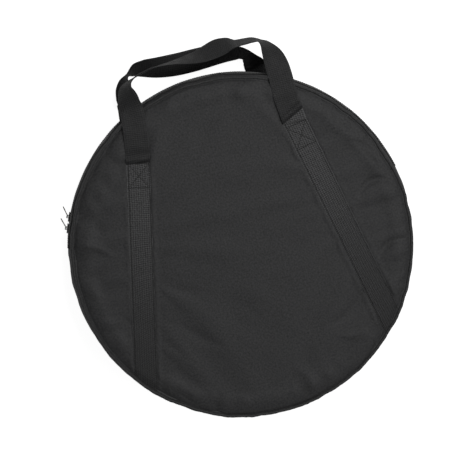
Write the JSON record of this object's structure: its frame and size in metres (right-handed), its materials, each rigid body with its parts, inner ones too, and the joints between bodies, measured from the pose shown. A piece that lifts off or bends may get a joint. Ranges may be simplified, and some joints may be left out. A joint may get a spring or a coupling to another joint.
{
  "type": "drum bag",
  "caption": "Round, flat, padded nylon drum bag with a two-way zip round the top of its rim, webbing straps down each face and webbing carrying handles.",
  "frame": {"origin": "on the ground under the middle of the whole bag, handles included, as it lies on its back face", "axes": "+Y points from the disc to the carrying handles, +Z out of the front face, +X to the right as the front is seen"},
  "size_m": [0.5532, 0.6063, 0.0976],
  "materials": {
    "nylon_cloth": "coated plain-weave nylon, black, slight sheen",
    "webbing": "woven polypropylene webbing, black, ribbed across",
    "foam_sheet": "closed-cell foam sheet, grey, hidden between the cloths",
    "lining_cloth": "thin woven lining, black",
    "zip_tape": "woven polyester zip tape, black",
    "zip_coil": "nylon coil, black",
    "nickel_plate": "nickel-plated zinc, bright"
  },
  "bodies": {
    "bag": {"back_panel_shell": "nylon_cloth", "back_panel_foam": "foam_sheet", "back_panel_lining": "lining_cloth", "front_panel_shell": "nylon_cloth", "front_panel_foam": "foam_sheet", "front_panel_lining": "lining_cloth", "lower_gusset_shell": "nylon_cloth", "lower_gusset_foam": "foam_sheet", "lower_gusset_lining": "lining_cloth", "rear_zip_strip_shell": "nylon_cloth", "rear_zip_strip_foam": "foam_sheet", "rear_zip_strip_lining": "lining_cloth", "left_strip_end_shell": "nylon_cloth", "left_strip_end_foam": "foam_sheet", "left_strip_end_lining": "lining_cloth", "right_strip_end_shell": "nylon_cloth", "right_strip_end_foam": "foam_sheet", "right_strip_end_lining": "lining_cloth", "rear_zip_tape": "zip_tape", "rear_zip_coil": "zip_coil", "left_zip_end_tape": "zip_tape", "left_zip_end_coil": "zip_coil", "right_zip_end_tape": "zip_tape", "right_zip_end_coil": "zip_coil", "back_piping": "nylon_cloth", "front_piping": "nylon_cloth", "back_seam_binding": "webbing", "front_seam_binding": "webbing", "back_left_strap": "webbing", "back_right_strap": "webbing", "front_left_strap": "webbing", "front_right_strap": "webbing"},
    "flap": {"flap_shell": "nylon_cloth", "flap_foam": "foam_sheet", "flap_lining": "lining_cloth", "flap_zip_strip_shell": "nylon_cloth", "flap_zip_strip_foam": "foam_sheet", "flap_zip_strip_lining": "lining_cloth", "flap_zip_tape": "zip_tape", "flap_zip_coil": "zip_coil", "flap_piping": "nylon_cloth", "flap_seam_binding": "webbing", "flap_left_strap": "webbing", "flap_right_strap": "webbing"},
    "front_handle": {"front_handle": "webbing"},
    "back_handle": {"back_handle": "webbing"},
    "upper_slider": {"upper_slider": "nickel_plate"},
    "lower_slider": {"lower_slider": "nickel_plate"},
    "upper_pull_tab": {"upper_pull_tab": "nickel_plate"},
    "lower_pull_tab": {"lower_pull_tab": "nickel_plate"}
  },
  "joints": [
    {"name": "flap_fold", "type": "hinge", "parent": "bag", "child": "flap", "pos_m": [0, 0.09497, 0.0882], "axis": [1, 0, 0], "range_deg": [0, 75]},
    {"name": "front_handle_swing", "type": "hinge", "parent": "flap", "child": "front_handle", "pos_m": [0, 0.14775, 0.0882], "axis": [1, 0, 0], "range_deg": [0, 110]},
    {"name": "back_handle_swing", "type": "hinge", "parent": "bag", "child": "back_handle", "pos_m": [0, 0.14775, 0], "axis": [1, 0, 0], "range_deg": [-150, 0]},
    {"name": "upper_slider_run", "type": "hinge", "parent": "bag", "child": "upper_slider", "pos_m": [0, -0.02625, 0.0441], "axis": [0, 0, 1], "range_deg": [-140, 0]},
    {"name": "lower_slider_run", "type": "hinge", "parent": "bag", "child": "lower_slider", "pos_m": [0, -0.02625, 0.0441], "axis": [0, 0, 1], "range_deg": [0, 4]},
    {"name": "upper_tab_swing", "type": "hinge", "parent": "upper_slider", "child": "upper_pull_tab", "pos_m": [-0.25748, 0.08678, 0.0441], "axis": [0, 0, 1], "range_deg": [-35, 50]},
    {"name": "lower_tab_swing", "type": "hinge", "parent": "lower_slider", "child": "lower_pull_tab", "pos_m": [-0.2644, 0.06946, 0.0441], "axis": [0, 0, 1], "range_deg": [0, 145]}
  ]
}
